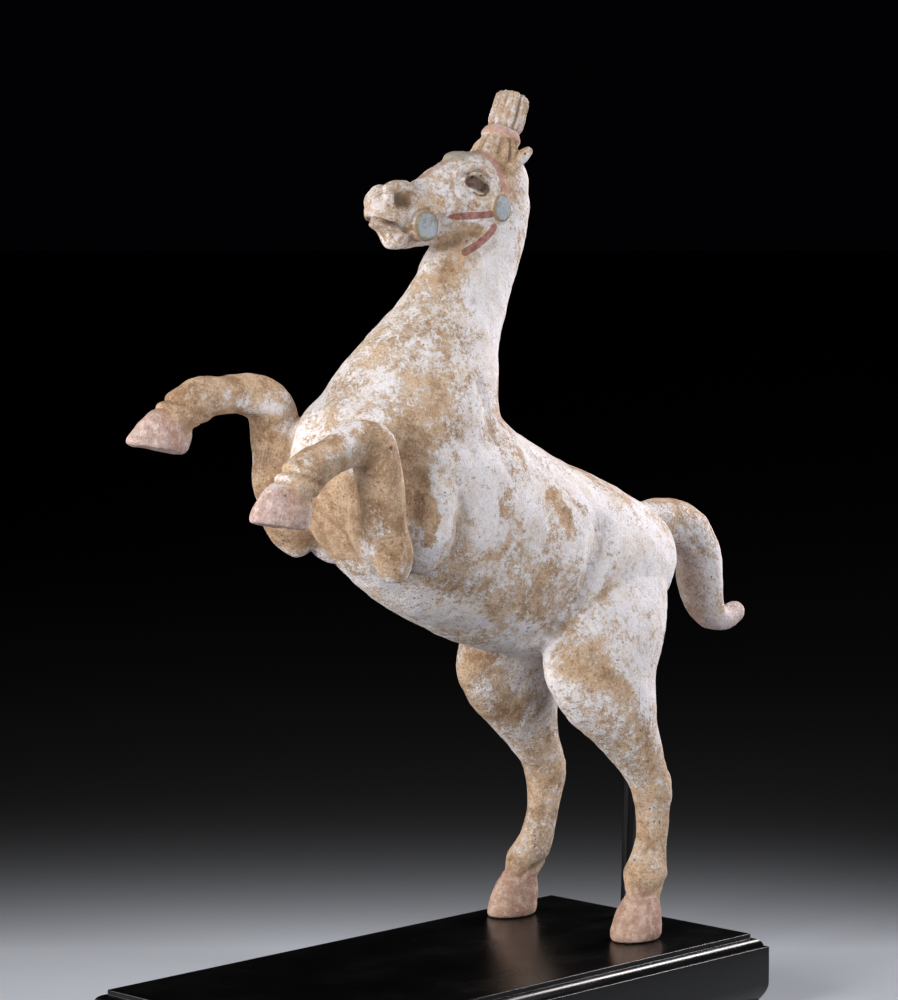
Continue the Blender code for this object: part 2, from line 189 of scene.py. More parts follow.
FAR_FORELEG = [
    (-213, 50, 291, 12, 12), (-224, 53, 303, 18, 17), (-237, 52, 328, 17, 17),
    (-242, 51, 360, 16, 17), (-248, 50, 387, 16.5, 17), (-266, 50, 397, 14.5, 15),
    (-290, 50, 398, 12.5, 13), (-313, 50, 396, 14.5, 15), (-328, 50, 389, 13.5, 14),
    (-340, 50, 380, 12, 12.5),
]


# %% [markdown]
# ## Working the joins smooth
# Joining skins with booleans leaves hard creases. A voxel remesh turns them into one even skin, as wet
# clay is, and a smoothing pass rounds the joins as a damp cloth does. It is done twice: first widely for
# the big masses, then finely once the small parts are on, so that eyes and lips stay crisp.

# %% One skin from many
def put_in_scene(name, data):
    obj = bpy.data.objects.new(name, data)
    bpy.context.scene.collection.objects.link(obj)
    return obj


def as_object(bm, name):
    bmesh.ops.recalc_face_normals(bm, faces=bm.faces)
    mesh = bpy.data.meshes.new(name)
    bm.to_mesh(mesh)
    bm.free()
    print(name, "is made with", len(mesh.vertices), "points")
    return put_in_scene(name, mesh)


def settle(obj):
    """Applies the object's modifiers to its mesh."""
    graph = bpy.context.evaluated_depsgraph_get()
    old = obj.data
    obj.data = bpy.data.meshes.new_from_object(obj.evaluated_get(graph))
    obj.modifiers.clear()
    bpy.data.meshes.remove(old)


def work_smooth(obj, voxel, passes):
    joined = obj.modifiers.new("join", "REMESH")
    joined.mode = "VOXEL"
    joined.voxel_size = voxel
    eased = obj.modifiers.new("ease", "SMOOTH")
    eased.factor = 0.5
    eased.iterations = passes
    settle(obj)
    print(obj.name, "has", len(obj.data.vertices), "points")


# %% The big masses
bm = bmesh.new()
trunk(bm, TORSO)
trunk(bm, NECK)
trunk(bm, HEAD)
trunk(bm, HIND_LEG, mirror=True)
roll(bm, TAIL)
roll(bm, NEAR_FORELEG)
roll(bm, FAR_FORELEG)
pinch(bm, (-210, 0, 325), (31, 49, 42))  # the breast
pinch(bm, (-192, 43, 316), (26, 20, 40), turn=(0, 12, 0), mirror=True)  # the shoulders
pinch(bm, (-219, -30, 324), (29, 23.5, 46))  # fills the join of the near foreleg
horse = as_object(bm, "terracotta_horse")
work_smooth(horse, 1.6, 14)


# %% [markdown]
# ## Pressing and drawing out
# Folds, hollows and ridges are worked with a thumb or a wooden tool drawn along a path. Each stroke moves
# the points near its path along their own normals, most in the middle and nothing at its edge. Numpy does
# it for every point at once, which a sculpting brush could not repeat exactly.

# %% Strokes of a tool
def rows_of(mesh, kind):
    """The "co" or the "normal" of every point, as rows of three."""
    flat = np.empty(len(mesh.vertices) * 3, np.float32)
    mesh.vertices.foreach_get(kind, flat)
    return flat.reshape(-1, 3).astype(float)


def places_and_normals(obj):
    return rows_of(obj.data, "co"), rows_of(obj.data, "normal")


def move_points(obj, moved):
    obj.data.vertices.foreach_set("co", moved.astype(np.float32).ravel())
    obj.data.update()


def away_from(points, path):
    """How far each point is from a path of straight runs."""
    best = np.full(len(points), 1e9)
    path = np.array(path, float)
    if len(path) == 1:
        return np.linalg.norm(points - path[0], axis=1)
    for start, end in zip(path, path[1:]):
        run = end - start
        t = np.clip((points - start) @ run / (run @ run), 0, 1)
        best = np.minimum(best, np.linalg.norm(points - start - t[:, None] * run, axis=1))
    return best


def far_side(path):
    return [(x, -y, z) for x, y, z in path]


def stroke(points, path, reach):
    """1 on the path, falling to 0 at its reach."""
    return np.clip(1 - (away_from(points, path) / reach) ** 2, 0, 1) ** 2


def press(obj, strokes):
    """Each stroke is (path, reach, depth), a negative depth raising a ridge."""
    places, normals = places_and_normals(obj)
    moved = places.copy()
    for path, reach, depth in strokes:
        moved -= normals * (stroke(places, path, reach) * depth)[:, None]
    move_points(obj, moved)
    furthest = round(float(np.abs(moved - places).max()), 1)
    print(len(strokes), "strokes moved the clay by up to", furthest, "mm")


def both_sides(strokes):
    return strokes + [(far_side(path), reach, depth) for path, reach, depth in strokes]


# %% Folds of the body
RUMP_SPLIT = [(88, 0, 266), (76, 0, 234), (58, 0, 208)]
FLANK_FOLD = [(-30, -61, 296), (-42, -62, 268), (-58, -56, 238), (-80, -40, 214)]
SHOULDER_CREASE = [(-200, -52, 280), (-182, -60, 292), (-172, -64, 320)]
press(horse, [(RUMP_SPLIT, 17, 4)] + both_sides([(FLANK_FOLD, 18, 4.2), (SHOULDER_CREASE, 17, 1.8)]))


# %% [markdown]
# ## The head
# Lips, lids and brows were pinched on as strings of clay and pressed down. A string is quick to make
# from many small balls along a smooth path, which the fine remesh then joins.

# %% A string of clay
def string(bm, path, radius):
    """A string of clay along a smooth path, and its twin on the other side."""
    for flip in (1, -1):
        rows = smooth_rows([(x, flip * y, z) for x, y, z in path], 10)
        last = None
        for row in rows:
            place = Vector(row)
            if last is None or (place - last).length > radius * 0.45:
                ball = Matrix.Translation(place)
                bmesh.ops.create_icosphere(bm, subdivisions=2, radius=radius, matrix=ball)
                last = place


# %% Eye sockets, ears, lids, brows, nostrils and lips
press(horse, both_sides([
    ([(-121, -19, 538), (-112, -20, 537)], 12, 2.8),  # socket of the eye
    ([(-134, -14, 537), (-150, -12, 534), (-164, -11, 530)], 10, 1.2),  # side of the nose
    ([(-104, -21, 496), (-118, -18, 485), (-132, -10, 481)], 9, 1.2),  # under the jaw
    ([(-108, -20, 511)], 19, -1.6),  # round cheek
    ([(-130, -15, 524), (-150, -13, 520)], 8, -0.7),  # cheekbone
]))
EAR = [
    (-86, 8, 541, 6, 5), (-79, 12, 548, 7.2, 5), (-73, 15, 553.5, 6.2, 4.6), (-67.5, 17.4, 558.5, 4.8, 3.8),
    (-64, 18.6, 561.5, 2.8, 2.4),
]
UPPER_LID = [(-127, -15.8, 540.5), (-121, -18.4, 544.4), (-114, -19.3, 544.2), (-107, -18.6, 540.5)]
LOWER_LID = [(-126, -16.2, 537), (-120, -18.4, 531.8), (-114, -19.4, 529.8), (-107.5, -19.2, 532)]
BROW = [(-131, -11, 545), (-123, -13, 548.5), (-113, -14.2, 550), (-105, -16, 546.5), (-100.5, -17.6, 541)]
UPPER_LIP = [(-176, -10.6, 511), (-188, -10.8, 513.6), (-195, -6.6, 518.4), (-197.6, 0, 519.4)]
LOWER_LIP = [(-178, -10, 504.4), (-188, -8.8, 507.6), (-193.5, -4.6, 510.2), (-195.5, 0, 511)]
bm = bmesh.new()
roll(bm, EAR, mirror=True)
pinch(bm, (-113, 0, 553), (18, 8.5, 7.2), turn=(0, 8, 0))  # the forelock on the brow
pinch(bm, (-180, -4.5, 533.4), (13.5, 7, 7.6))  # the nose, near side
pinch(bm, (-187, 4.5, 530.6), (9.5, 7, 7.4))  # the nose, far side
pinch(bm, (-117, 15.2, 537), (7.2, 5, 5.8), mirror=True)  # the eyeballs
pinch(bm, (-181, 0, 501.5), (12, 9.6, 7.6), turn=(0, 20, 0))  # the chin
for path, radius in ((UPPER_LID, 1.2), (LOWER_LID, 1), (BROW, 3), (UPPER_LIP, 3.2), (LOWER_LIP, 2.9)):
    string(bm, path, radius)
pinch(bm, (-192, -8.5, 526), (5, 5, 7.5), mirror=True)  # the rims of the nostrils
small_parts = as_object(bm, "small_parts")


# %% [markdown]
# ## The bound plume
# The forelock stands up in a bound tuft: a flared foot, a rolled cord and a bundle cut off square. Its
# strands are grooves round the ring, so the ring's radius ripples with the angle.

# %% The plume
PLUME_LOW, PLUME_HIGH = Vector((-83, 0, 550)), Vector((-61.5, 0, 600))
PLUME = [  # how far up, radius, depth of the grooves as a share of it
    (0, 18, 0.05), (0.12, 16.8, 0.07), (0.24, 14.6, 0.08), (0.32, 12.6, 0.05), (0.35, 13.2, 0),
    (0.375, 14, 0), (0.41, 13.9, 0), (0.435, 12.9, 0), (0.45, 13, 0), (0.47, 12.2, 0),
    (0.49, 10.4, 0.04), (0.53, 11.2, 0.09), (0.6, 11.9, 0.1), (0.75, 11.4, 0.11), (0.9, 10.9, 0.12),
    (0.955, 10.5, 0.11), (0.975, 9.5, 0.06), (0.965, 7.8, 0.12), (0.955, 4, 0.1),
]
STRAND_WAVES = ((14, 1, 0.4), (9, 0.35, 1.9), (23, 0.35, 4.1))  # how many, share, phase
across = Vector((0, 1, 0))
deep = (PLUME_HIGH - PLUME_LOW).normalized().cross(across)
rings = []
for t, radius, groove in smooth_rows(PLUME, 3):
    middle, ring = PLUME_LOW.lerp(PLUME_HIGH, t), []
    for angle in turns(160):
        wave = sum(share * sin(n * angle + phase + 1.5 * t) for n, share, phase in STRAND_WAVES)
        reach = radius * (1 + groove * wave)
        ring.append(middle + across * reach * cos(angle) + deep * reach * sin(angle))
    rings.append(ring)
bm = bmesh.new()
skin(bm, rings)
tuft = as_object(bm, "tuft")

# %% [markdown]
# ## The bridle bosses
# Round bosses cover the places where the bridle's straps meet. Each is a low button with an eased rim
# round a nearly flat face. A cylinder with a bevel would do for the rim, but a short profile turned
# about the boss's own axis gives rim and face in one skin.

# %% The bridle bosses
BOSSES = (((-165, 11, 509.5), 10.2, 8.2, 6), ((-97, 16, 521), 9.8, 7.6, -6))  # centre, radius, rise, yaw
BOSS_PROFILE = ((0, 0.97), (0.7, 1), (0.84, 0.98), (0.95, 0.91), (1, 0.78), (0.985, 0.6), (1, 0.3))


def facing(yaw, flip):
    return Vector((-sin(radians(yaw)), flip * cos(radians(yaw)), 0))


bm = bmesh.new()
for centre, radius, proud, yaw in BOSSES:
    for flip in (1, -1):
        out, up = facing(yaw, flip), Vector((0, 0, 1))
        deep = out.cross(up)
        base = Vector((centre[0], flip * centre[1], centre[2]))
        skin(bm, [
            [
                base + out * proud * rise + (up * cos(a) + deep * sin(a)) * radius * share
                for a in turns(48)
            ]
            for rise, share in BOSS_PROFILE
        ])
bosses = as_object(bm, "bosses")

# %% [markdown]
# ## The hooves
# A hoof is a short cone that widens towards the ground and is drawn out at the toe. Here it is a row of
# ovals from the coronet to the sole, and small pinches of clay add the fetlocks and the hocks above it.

# %% The hooves
HOOVES = (  # top, sole, direction of the toe, half across, half deep
    ((8, -60, 34), (1, -61, 0), (-1, 0, 0), 16, 21),
    ((8, 60, 34), (1, 61, 0), (-1, 0, 0), 16, 21),
    ((-324, -50, 346), (-334, -50, 319), (-50, 0, 9), 14, 24),
    ((-336, 50, 388), (-352, 50, 365), (-50, 0, 11), 14, 24),
)
HOOF_PROFILE = (
    (0, 0.54), (0.08, 0.66), (0.22, 0.77), (0.5, 0.92), (0.78, 1), (0.9, 0.99), (0.97, 0.94), (1, 0.84),
)
bm = bmesh.new()
for top, sole, toe, half_across, half_deep in HOOVES:
    toe = Vector(toe).normalized()
    rings = []
    for t, swell in smooth_rows(HOOF_PROFILE, 3):
        middle = Vector(top).lerp(Vector(sole), t)
        rings.append([
            middle + Vector((0, half_across * swell * cos(a) * (1 - 0.1 * sin(a)), 0))
            + toe * half_deep * swell * sin(a)
            for a in turns(40)
        ])
    skin(bm, rings)
pinch(bm, (23, 59, 47), (9, 10, 10), mirror=True)  # the hind fetlocks
pinch(bm, (37, 52, 107), (10, 9.5, 13), mirror=True)  # the hocks
pinch(bm, (-313, 50, 388), (10, 10, 8), turn=(0, 20, 0))  # the far fore fetlock
pinch(bm, (-306, -50, 346), (9, 10, 8), turn=(0, 20, 0))  # the near fore fetlock
hooves = as_object(bm, "hooves")

# %% [markdown]
# ## One piece of clay
# The small parts are joined to the body, and all of it is remeshed again with a finer voxel. Fewer
# smoothing passes than before keep the lids, the lips and the strands of the plume.

# %% Join all and work it finely
bpy.ops.object.select_all(action="DESELECT")
for obj in (small_parts, tuft, bosses, hooves, horse):
    obj.select_set(True)
bpy.context.view_layer.objects.active = horse
bpy.ops.object.join()
work_smooth(horse, 1.05, 4)

# %% [markdown]
# ## Fine tool marks
# The last strokes open the mouth and nostrils, hollow the ears, raise the edge of the mane and crease the
# shoulder. Bands then ring the pasterns. A band is a stroke round a limb: it depends on how far a point
# is along the limb's own line, and ends a little way out from it.

# %% Mouth, nostrils, ears and creases
MOUTH = [(-203, -1, 514.6), (-197, -7, 513.2), (-188, -12, 509.8), (-178, -13.5, 505.5)]
MANE_EDGE = [(-55, 0, 548), (-50, 0, 525), (-54, 0, 503), (-62, 0, 480), (-74, 0, 456), (-80, 0, 444)]
press(horse, [(MANE_EDGE, 8.5, -1.4)])
press(horse, both_sides([
    (MOUTH, 2.9, 3.2),
    ([(-180, -14, 505), (-188, -12, 508)], 6, 1.2),  # corner of the mouth
    ([(-197, -1, 501), (-193, -7, 499)], 11, 3),  # under the lower lip
    ([(-185, -13, 526.6), (-180.5, -13.8, 526.6)], 9.2, 3.9),  # nostril
    ([(-78, -16, 549), (-71, -20, 555)], 3.6, 2),  # hollow of the ear
    ([(-94.5, -12, 566), (-93, -14, 561), (-91, -15, 557.5), (-88.5, -15.2, 560)], 1.5, -0.7),  # loose lock
    ([(86, -14, 273), (98, -16, 277), (112, -17, 272), (124, -16, 264)], 6, 2.5),  # groove of the tail
]))
press(horse, [([(24, side * 60, 32)], 12, 3.2) for side in (-1, 1)])  # backs of the pasterns
press(horse, [
    ([(-142, -46, 402), (-137, -48, 376), (-129, -54, 345)], 9, 1.2),  # crease of the shoulder
    ([(-232, -40, 384), (-244, -58, 376), (-250, -66, 364)], 1.5, 0.8),  # crack over the near foreleg
    ([(-246, -65, 366)], 2.2, 3),  # the rest are small pits
    ([(-238, -63, 363)], 2.6, 3.4),
    ([(-243, -27, 324)], 1.4, 1.2),
    ([(21, -62, 82)], 1.6, 1),
    ([(21, -62, 78)], 1.2, 0.8),
])


# %% Folds round the pasterns
def band(obj, middle, axis, width, depth, reach):
    """Presses a band in round a limb, or raises one. It ends at its reach, over the last 3 mm."""
    places, normals = places_and_normals(obj)
    middle, axis = np.array(middle, float), np.array(Vector(axis).normalized())
    along = (places - middle) @ axis
    aside = np.linalg.norm(places - middle - along[:, None] * axis, axis=1)
    share = np.clip(1 - (along / width) ** 2, 0, 1) ** 2 * np.clip((reach - aside) / 3, 0, 1)
    move_points(obj, places - normals * (share * depth)[:, None])


FORE_FOLDS = (((0, 0, 0), 3.4, -1.1), ((2.4, 0, 4.6), 2.6, 1.2), ((4.6, 0, 8.8), 3.6, -0.6))
for side in (-1, 1):
    band(horse, (8, side * 60, 33.5), (-1, 0, 3), 5, 1.2, 26)
for hoof_top in ((-323, -50, 348), (-335, 50, 389)):
    for offset, width, depth in FORE_FOLDS:
        band(horse, Vector(hoof_top) + Vector(offset), (14, 0, 26), width, depth, 24)


# %% [markdown]
# ## Uneven, hand-worked clay
# No hand-made skin is even. A slow swell of half a millimetre, made of a few crossing waves, breaks up
# the highlights. The mesh is then thinned, and least on the head, where the finest forms are.

# %% The slow swell, then thinning
places, normals = places_and_normals(horse)
SWELLS = ((46, 0.5), (27, 0.35), (15, 0.22), (8, 0.12))  # length and height of the waves
TRIANGLES_KEPT = 192000
HEAD_LINE, HEAD_REACH = [(-195, 0, 515), (-110, 0, 525), (-80, 0, 555), (-63, 0, 596)], 34


def random_wave(points, dice, length):
    """The height at each point of a wave in a random direction."""
    direction = dice.normal(size=3)
    direction /= np.linalg.norm(direction)
    return np.sin(points @ direction * (2 * pi / length) + dice.uniform(0, 2 * pi))


def is_head(points):
    return away_from(points, HEAD_LINE) < HEAD_REACH


rng = np.random.default_rng(7)
swell = np.zeros(len(places))
for length, height in SWELLS:
    for _ in range(7):
        swell += height / 2.6 * random_wave(places, rng, length)
calm = np.clip((places[:, 2] - 2) / 6, 0, 1)  # the hind soles stay flat
moved = places + normals * (swell * calm * 0.8)[:, None]
moved[:, 2] = np.maximum(moved[:, 2], 0)
move_points(horse, moved)
head = is_head(places)
plain = horse.vertex_groups.new(name="plain")
for chosen, weight in ((head, 0.9), (~head, 1)):
    plain.add([int(i) for i in np.flatnonzero(chosen)], weight, "REPLACE")
thin = horse.modifiers.new("thin", "DECIMATE")
thin.vertex_group, thin.vertex_group_factor = "plain", 0.02
thin.ratio = min(1, TRIANGLES_KEPT / (2 * len(horse.data.polygons)))
settle(horse)
horse.vertex_groups.clear()
made = rows_of(horse.data, "co")
triangles = sum(len(p.vertices) - 2 for p in horse.data.polygons)
print("the horse has", triangles, "triangles, and", int(is_head(made).sum()), "points are on its head")


# %% [markdown]
# ## A map of what is left of the paint
# The horse was dipped in white slip and painted over it. In the ground much of the slip flaked off and
# soil settled in the hollows. Shade in the creases and hollows is painted on as well. Where each lies is
# a map, kept as numbers on the points of the mesh: a wide stroke adds or takes slip, and the material
# later breaks its edge up with fine noise.

# %% Where the slip is thick and where it has gone
def far_copy(strokes):
    """The same kind of wear on the other side, which is never quite the same."""
    return [
        ([(x + 11, -y, z - 8) for x, y, z in path], reach * 0.9, amount) for path, reach, amount in strokes
    ]


SLIP_KEPT = [  # each stroke is (path, reach, amount), the body's first
    ([(-88, -21, 505), (-98, -26, 480), (-108, -31, 450), (-118, -40, 418)], 26, 0.5),
    ([(-112, -20, 478), (-128, -30, 440)], 20, 0.2),
    ([(-40, -50, 305), (10, -56, 285), (28, -54, 255)], 48, 0.32),
    ([(-14, -66, 240), (0, -68, 205), (5, -66, 170)], 24, 0.2),
    ([(-160, -60, 345), (-145, -62, 325), (-175, -60, 318)], 26, 0.35),
    ([(-104, -62, 300), (-92, -62, 330)], 24, 0.22),
    ([(-205, -52, 322), (-200, -56, 300)], 13, 0.5),
    ([(-222, -8, 415), (-212, -20, 405)], 15, 0.3),
    ([(-262, -52, 388), (-290, -50, 382), (-314, -46, 370)], 7, 0.45),
    ([(-270, -62, 366), (-274, -62, 372)], 7, 0.3),
    ([(-144, -12, 541), (-148, -14, 534)], 8, 0.7),
    ([(-160, -13, 526), (-152, -14, 522)], 8, 0.6),
    ([(-129, -17, 532), (-122, -19, 526)], 8, 0.8),
    ([(-102, -15, 551), (-106, -15, 552)], 6, 0.8),
    ([(-112, -20, 522), (-110, -20, 518)], 7, 0.8),
    ([(-138, -15, 517), (-134, -16, 511)], 6, 0.5),
    ([(-128, -17, 507), (-112, -19, 508)], 8, 0.9),
    ([(-199, -6, 524), (-200, 4, 521)], 9, 0.6),
]
SLIP_LOST = [
    ([(-258, -60, 372), (-290, -56, 364), (-316, -54, 352)], 22, 0.9),
    ([(-80, -12, 548), (-68, -17, 559)], 20, 0.55),
    ([(-318, -50, 356), (-330, -50, 340)], 22, 0.7),
    ([(132, 0, 240), (140, 0, 222)], 24, 0.2),
    ([(-44, -66, 192), (-14, -70, 166), (8, -68, 142)], 26, 0.32),
    ([(-215, -5, 268), (-160, -5, 236), (-120, -16, 216)], 22, 0.2),
    ([(-76, -52, 322), (-68, -57, 310), (-66, -59, 298)], 11, 1),
    ([(-58, -52, 320), (-48, -52, 316)], 9, 0.8),
    ([(-22, -20, 338), (6, -34, 322), (22, -44, 308)], 11, 0.5),
    ([(-132, -62, 322), (-136, -62, 300), (-138, -60, 290)], 9, 0.75),
    ([(-178, -52, 296), (-168, -50, 284)], 22, 0.45),
    ([(-190, -38, 268), (-155, -47, 262), (-120, -48, 252), (-90, -48, 240)], 20, 0.5),
    ([(-86, -59, 272), (-92, -58, 256), (-98, -54, 246)], 12, 0.6),
    ([(-30, -60, 275), (-28, -61, 250)], 10, 0.45),
    ([(-118, -44, 374), (-110, -50, 352), (-106, -54, 338)], 10, 0.65),
    ([(-180, -49, 394), (-196, -50, 368)], 26, 0.5),
    ([(-205, -44, 384), (-214, -46, 360)], 22, 0.45),
    ([(-154, -34, 433), (-165, -38, 415)], 24, 0.22),
    ([(-193, -6, 440), (-215, -4, 415), (-240, -10, 388)], 20, 0.28),
    ([(-146, -12, 474), (-140, -14, 486), (-128, -17, 492)], 20, 0.75),
    ([(30, -48, 298), (52, -44, 292)], 9, 0.5),
    ([(-58, -52, 213), (-48, -62, 203), (-30, -70, 184)], 20, 0.5),
    ([(-62, -44, 228), (-78, -38, 222)], 12, 0.5),
    ([(-12, -70, 172), (10, -68, 150)], 13, 0.35),
    ([(16, -66, 128), (24, -64, 110)], 12, 0.3),
    ([(-60, 40, 200), (-30, 40, 165)], 32, 0.85),
    ([(60, 0, 285), (100, 0, 290)], 24, 0.5),
    ([(-250, -62, 372), (-276, -58, 366), (-318, -54, 346)], 22, 0.55),
    ([(-170, -20, 455), (-190, -28, 420), (-200, -38, 400)], 30, 0.34),
    ([(-180, -8, 522), (-165, -8, 526)], 22, 0.25),
    ([(-150, -12, 516), (-140, -14, 508)], 14, 0.35),
    ([(96, 0, 296), (118, 0, 296), (138, 0, 280)], 26, 0.6),
    ([(-130, -54, 300), (-100, -50, 262), (-60, -50, 250)], 26, 0.18),
]
BARE_CLAY = [
    ([(-262, -26, 330), (-246, -8, 330), (-236, 8, 310)], 44, 1),
    ([(-250, -64, 360), (-240, -66, 320), (-232, -58, 284)], 19, 1),
    ([(-216, -60, 360), (-216, -62, 330), (-216, -60, 300), (-222, -52, 282)], 17, 1),
    ([(-262, 52, 396), (-300, 50, 398), (-330, 50, 388)], 32, 0.9),
    ([(-236, 52, 300), (-242, 51, 350), (-246, 50, 390)], 26, 0.8),
]

# %% Where soil, painted shade, stains and colours lie
# Soil and painted shade: some strokes lay real soil, others paint shade into creases, under the tail and
# round the eyes, nostrils and mouth.
SOIL_AND_SHADE = [
    *both_sides([([(24, -60, 140), (36, -55, 105), (22, -60, 60), (10, -60, 30), (4, -60, 8)], 30, 0.6)]),
    ([(-60, 44, 205), (-34, 48, 170)], 28, 0.75),
    ([(-262, -60, 372), (-290, -57, 362), (-318, -54, 350)], 16, 0.35),
    ([(-146, -12, 478), (-136, -14, 490), (-124, -18, 490)], 18, 0.8),
    ([(-60, -46, 226), (-46, -60, 214)], 16, 0.6),
    ([(-216, -60, 362), (-216, -62, 330), (-214, -58, 296)], 12, 0.7),
    ([(-170, -46, 262), (-120, -48, 250)], 12, 0.5),
    ([(86, -10, 272), (110, -16, 270)], 10, 0.6),
    ([(52, -6, 284), (72, -12, 290)], 14, 0.4),
    ([(-124, -16, 545), (-114, -18, 547), (-104, -19, 541)], 7, 0.4),
    ([(-172, -13, 532), (-168, -14, 522), (-170, -13, 512)], 11, 0.6),
    ([(-83, 0, 552), (-61, 0, 602)], 24, 0.45),
    ([(-192, -12, 528), (-184, -13, 527)], 11, 0.5),
    ([(-196, -8, 511), (-180, -12, 506)], 7, 0.45),
    ([(-180, -49, 392), (-200, -46, 370)], 24, 0.35),
]
GREEN_STAIN = [
    ([(-126, -3, 556), (-104, -3, 557)], 10, 0.9),
    ([(-172, -5, 536), (-184, -7, 536)], 9, 0.6),
    ([(-300, -58, 356), (-282, -60, 364), (-262, -62, 372)], 18, 0.5),
    ([(-318, -56, 350), (-308, -58, 354)], 12, 0.4),
    ([(-184, -12, 514), (-178, -13, 513)], 6, 0.6),
    ([(-130, -16, 520), (-138, -15, 516)], 7, 0.4),
]
PINK = [
    ([(-57, 0, 548), (-50, 0, 525), (-54, 0, 503), (-62, 0, 480), (-74, 0, 456), (-84, 0, 430)], 15, 0.8),
    ([(120, 0, 262), (132, 0, 240), (140, 0, 222), (160, 0, 208), (186, 0, 219)], 32, 0.55),
    ([(100, 0, 300), (125, 0, 292)], 16, 0.35),
    *both_sides([([(6, -60, 16), (1, -61, 2)], 36, 1.2)]),
    ([(-338, -50, 322), (-346, -50, 304)], 40, 1.3),
    ([(-352, 50, 366), (-364, 50, 350)], 40, 1.3),
    ([(-152, 0, 544), (-133, 0, 553)], 8, 0.9),
    ([(-196, 0, 520), (-172, 0, 518)], 30, 0.45),
    ([(-83, 0, 552), (-61, 0, 602)], 30, 0.45),
    ([(12, -60, 150), (18, -58, 185)], 9, 0.35),
]
BROW_BAND = [(-103, 0, 562), (-100, -8, 559), (-96, -15, 551), (-93, -20, 541), (-90, -21, 532)]
STRAPS = [
    [(-160, -20, 514), (-132, -18, 515.5), (-106, -21, 517)],
    [(-103, -21, 508), (-110, -20.5, 501), (-120, -19, 495), (-128, -17, 491)],
]
EYE = [(-123, -17.6, 539.6), (-116.8, -19.5, 537.6), (-110.6, -20, 535)]
LID_LINE = [(-121, -19, 532), (-116, -20.5, 529.6), (-110, -20.5, 530.6)]
NOSTRIL = [(-186, -12, 526.6), (-179.5, -13, 526.6)]

# %% [markdown]
# ## Laying the map
# Strokes with plain edges would look sprayed on. So the strokes of slip and bare clay are measured from
# points that a slow wave has moved, and their edges wander. Hollows are found by comparing each point
# with the mean of its neighbours.
# A material could do that with Pointiness, but numbers kept on the mesh stay with it everywhere.

# %% Lay the map on the mesh
def keep_number(name, values):
    """Keeps a number on every point of the horse."""
    layer = horse.data.attributes.new(name, "FLOAT", "POINT")
    layer.data.foreach_set("value", np.ascontiguousarray(values, np.float32))
    print(name, "runs from", round(float(values.min()), 2), "to", round(float(values.max()), 2))


def laid(points, strokes):
    total = np.zeros(len(points))
    for path, reach, amount in strokes:
        total += stroke(points, path, reach) * amount
    return total


def neighbours_mean(mesh, values, times):
    """Averages values over joined points, the given number of times."""
    ends = np.empty(len(mesh.edges) * 2, np.int32)
    mesh.edges.foreach_get("vertices", ends)
    a, b = ends.reshape(-1, 2).T
    count = np.bincount(np.r_[a, b], minlength=len(values))[:, None]
    for _ in range(times):
        total = np.empty_like(values)
        for k in range(values.shape[1]):
            total[:, k] = np.bincount(np.r_[a, b], np.r_[values[b, k], values[a, k]], minlength=len(values))
        values = total / np.maximum(count, 1)
    return values


def wavering(points, reach, length, seed):
    """Moves points by a slow wave, so that a straight stroke lays a ragged patch."""
    dice, moved = np.random.default_rng(seed), points.copy()
    for axis in range(3):
        for _ in range(4):
            moved[:, axis] += reach / 2 * random_wave(points, dice, length)
    return moved


places, normals = places_and_normals(horse)
ragged = wavering(wavering(places, 6, 46, 3), 3, 15, 4)
slip = np.full(len(places), 0.7)
slip += laid(ragged, SLIP_KEPT) - laid(ragged, SLIP_LOST)
slip += laid(ragged, far_copy(SLIP_KEPT[:10])) - laid(ragged, far_copy(SLIP_LOST[:19]))
bare = np.clip(laid(ragged, BARE_CLAY) * 1.5, 0, 1)
slip = np.clip(slip, 0, 1.2) * (1 - bare) - 0.5 * bare
legs_low = np.clip((175 - places[:, 2]) / 90, 0, 1) * (places[:, 0] > -40)
face = stroke(places, [(-195, 0, 520), (-150, 0, 525), (-106, 0, 530)], 50)
plumed = np.clip(stroke(places, [(-83, 0, 552), (-61, 0, 602)], 30) * 2, 0, 1)
slip -= 0.54 * legs_low
slip -= 0.4 * face
slip -= 0.3 * plumed
hollow = ((neighbours_mean(horse.data, places, 6) - places) * normals).sum(1)
wide_hollow = ((neighbours_mean(horse.data, places, 40) - places) * normals).sum(1)
keep_number("slip", slip)
keep_number("bare", bare)
# Soil, and shade painted into creases and hollows.
keep_number("soil_and_shade", np.clip(laid(places, SOIL_AND_SHADE) + laid(places, far_copy(SOIL_AND_SHADE[4:])), 0, 1))
# How sunk each point is: it thins the slip, and it darkens the recesses as painted shade.
keep_number("hollow", np.clip(hollow * 3.2 + wide_hollow * 0.7, -1, 1))
far_green = [(far_side(path), reach, amount) for path, reach, amount in GREEN_STAIN[:2]]
keep_number("green", np.clip(laid(places, GREEN_STAIN) + laid(places, far_green), 0, 1))
keep_number("pink", np.clip(laid(places, PINK), 0, 1))
print("hollows run from", round(float(hollow.min()), 2), "to", round(float(hollow.max()), 2), "mm")

# %% [markdown]
# ## The painted bridle
# The straps, the brow band and the dark of the eyes are painted on. Kept as closeness to a path, such a
# thing can be cut off sharply in the material at any width, and the mesh needs no edge there. The dark
# in the nostrils and the mouth is kept the same way, and is painted shade.

# %% Straps, band, eyes and bosses as distances
def closeness(paths, half_width):
    """1 on the path, 0.5 at half_width from it, 0 at twice that."""
    nearest = np.full(len(places), 1e9)
    for path in paths:
        for side in (path, far_side(path)):
            nearest = np.minimum(nearest, away_from(places, [tuple(r) for r in smooth_rows(side, 4)]))
    return np.clip(1 - nearest / (2 * half_width), 0, 1)


